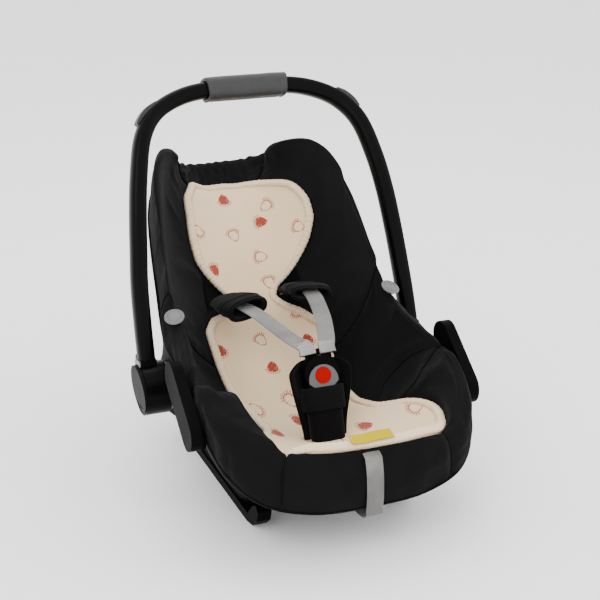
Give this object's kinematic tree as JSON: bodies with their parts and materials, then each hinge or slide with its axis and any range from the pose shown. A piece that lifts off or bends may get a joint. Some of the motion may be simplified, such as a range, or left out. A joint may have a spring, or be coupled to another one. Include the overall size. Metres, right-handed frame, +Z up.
{
  "type": "infant car seat",
  "caption": "Rear-facing infant car seat: padded shell on a rocker base, comfort liner, three-point harness, swinging carry handle with a padded grip.",
  "frame": {"origin": "on the floor under the middle of the whole seat, at the bottom centre of its box", "axes": "+X across the seat, +Y from the foot end to the head end, +Z up"},
  "size_m": [0.4696, 0.6742, 0.5785],
  "materials": {
    "shell_plastic": "satin",
    "handle_plastic": "satin",
    "cap_plastic": "satin",
    "button_plastic": "satin",
    "light_plastic": "satin",
    "stud_plastic": "satin",
    "red_plastic": "gloss",
    "steel": "satin",
    "foam": "matte",
    "cover_fabric": "matte",
    "liner_fabric": "matte",
    "tag_fabric": "matte",
    "webbing": "satin",
    "grip_leather": "satin"
  },
  "bodies": {
    "root": {"shell": "shell_plastic", "rocker_skirt": "shell_plastic", "rocker_skid_left": "shell_plastic", "rocker_skid_right": "shell_plastic", "latch_bar_front": "steel", "latch_bar_rear": "steel", "foam_liner": "foam", "head_wing_left": "cover_fabric", "head_wing_right": "cover_fabric", "head_panel": "cover_fabric", "side_panel_left": "cover_fabric", "side_panel_right": "cover_fabric", "thigh_bolster_left": "cover_fabric", "thigh_bolster_right": "cover_fabric", "front_panel": "cover_fabric", "seat_cover": "cover_fabric", "comfort_liner": "liner_fabric", "liner_tag": "tag_fabric", "canopy_stud_left": "stud_plastic", "canopy_stud_right": "stud_plastic", "belt_horn_left": "shell_plastic", "belt_horn_right": "shell_plastic", "pivot_plate_left": "steel", "pivot_plate_right": "steel", "hub_axle_left": "steel", "hub_axle_right": "steel", "shoulder_pad_left": "cover_fabric", "shoulder_pad_right": "cover_fabric", "shoulder_strap_left": "webbing", "shoulder_strap_right": "webbing", "buckle_tongue_left": "steel", "buckle_tongue_right": "steel", "buckle_housing": "handle_plastic", "buckle_face": "button_plastic", "buckle_spring": "steel", "crotch_pad": "cover_fabric", "crotch_strap": "webbing", "adjuster_strap": "webbing", "adjuster_housing": "shell_plastic", "rear_belt_guide": "shell_plastic", "fixing_screws": "steel"},
    "handle": {"handle_bar": "handle_plastic", "handle_grip": "grip_leather", "hub_left": "handle_plastic", "hub_right": "handle_plastic", "hub_cap_left": "cap_plastic", "hub_cap_right": "cap_plastic", "hub_indicator_left": "light_plastic", "hub_indicator_right": "light_plastic", "lock_spring_left": "steel", "lock_spring_right": "steel"},
    "button_left": {"handle_button_left": "button_plastic"},
    "button_right": {"handle_button_right": "button_plastic"},
    "plunger_left": {"lock_plunger_left": "light_plastic"},
    "plunger_right": {"lock_plunger_right": "light_plastic"},
    "buckle_press": {"buckle_button": "red_plastic"},
    "adjuster_press": {"adjuster_lever": "light_plastic"}
  },
  "joints": [
    {"name": "handle_swing", "type": "hinge", "parent": "root", "child": "handle", "pos_m": [0, 0, 0.152], "axis": [1, 0, 0], "range_deg": [-85, 20]},
    {"name": "handle_button_left_press", "type": "slide", "parent": "handle", "child": "button_left", "axis": [0.6695, -0.2498, -0.6995], "range_m": [0, 0.004], "stiffness_N_per_m": 900, "springref_m": -0.002},
    {"name": "lock_plunger_left_slide", "type": "slide", "parent": "handle", "child": "plunger_left", "axis": [-1, 0, 0], "range_m": [0, 0.004], "deforming": ["lock_spring_left"]},
    {"name": "handle_button_right_press", "type": "slide", "parent": "handle", "child": "button_right", "axis": [-0.6695, -0.2498, -0.6995], "range_m": [0, 0.004], "stiffness_N_per_m": 900, "springref_m": -0.002},
    {"name": "lock_plunger_right_slide", "type": "slide", "parent": "handle", "child": "plunger_right", "axis": [1, 0, 0], "range_m": [0, 0.004], "deforming": ["lock_spring_right"]},
    {"name": "buckle_button_press", "type": "slide", "parent": "root", "child": "buckle_press", "axis": [0, 0.9397, -0.342], "range_m": [0, 0.004], "stiffness_N_per_m": 1500, "springref_m": -0.003, "deforming": ["buckle_spring"]},
    {"name": "adjuster_lever_press", "type": "hinge", "parent": "root", "child": "adjuster_press", "pos_m": [0, -0.27, 0.113], "axis": [1, 0, 0], "range_deg": [0, 12], "stiffness_Nm_per_rad": 0.6, "springref_deg": -17.19}
  ],
  "couplings": [
    {"joint": "lock_plunger_left_slide", "follows": "handle_button_left_press", "ratio": 1},
    {"joint": "lock_plunger_right_slide", "follows": "handle_button_right_press", "ratio": 1}
  ]
}
